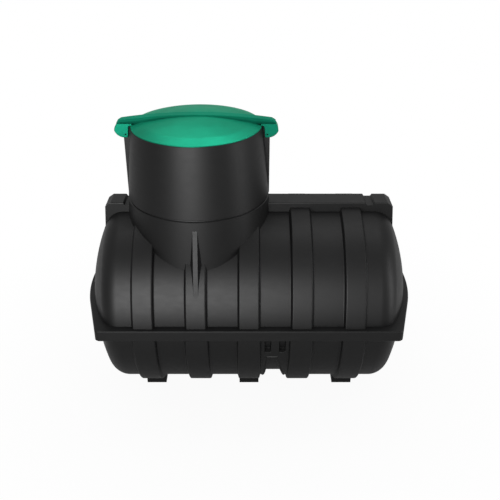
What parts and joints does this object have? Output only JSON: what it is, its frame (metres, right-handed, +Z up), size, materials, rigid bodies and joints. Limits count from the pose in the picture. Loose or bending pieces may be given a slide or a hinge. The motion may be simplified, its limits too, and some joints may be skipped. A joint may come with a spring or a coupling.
{
  "type": "underground storage tank",
  "caption": "Horizontal ribbed plastic tank for burial, with dished ends, a waist band, an off-centre access neck and a lift-off domed lid.",
  "frame": {"origin": "on the floor under the middle of the tank, midway between the two dished ends", "axes": "+Z up, +X along the tank away from the neck, +Y towards the rear"},
  "size_m": [1.8538, 1.14, 1.6197],
  "materials": {
    "black_shell": "satin moulded polyethylene, black",
    "green_lid": "satin moulded polyethylene, green"
  },
  "bodies": {
    "tank": {"front_gusset": "black_shell", "left_end": "black_shell", "left_fin": "black_shell", "left_foot": "black_shell", "left_rail": "black_shell", "lower_barrel": "black_shell", "middle_foot": "black_shell", "neck_collar": "black_shell", "neck_riser": "black_shell", "rear_gusset": "black_shell", "right_end": "black_shell", "right_fin": "black_shell", "right_foot": "black_shell", "right_rail": "black_shell", "upper_barrel": "black_shell", "waist_front": "black_shell", "waist_left": "black_shell", "waist_rear": "black_shell", "waist_right": "black_shell"},
    "lid": {"lid_dome": "green_lid", "lid_bar": "green_lid", "left_ear": "green_lid", "right_ear": "green_lid"}
  },
  "joints": [
    {"name": "lid_lift", "type": "slide", "parent": "tank", "child": "lid", "axis": [0, 0, 1], "range_m": [0, 0.35]}
  ]
}
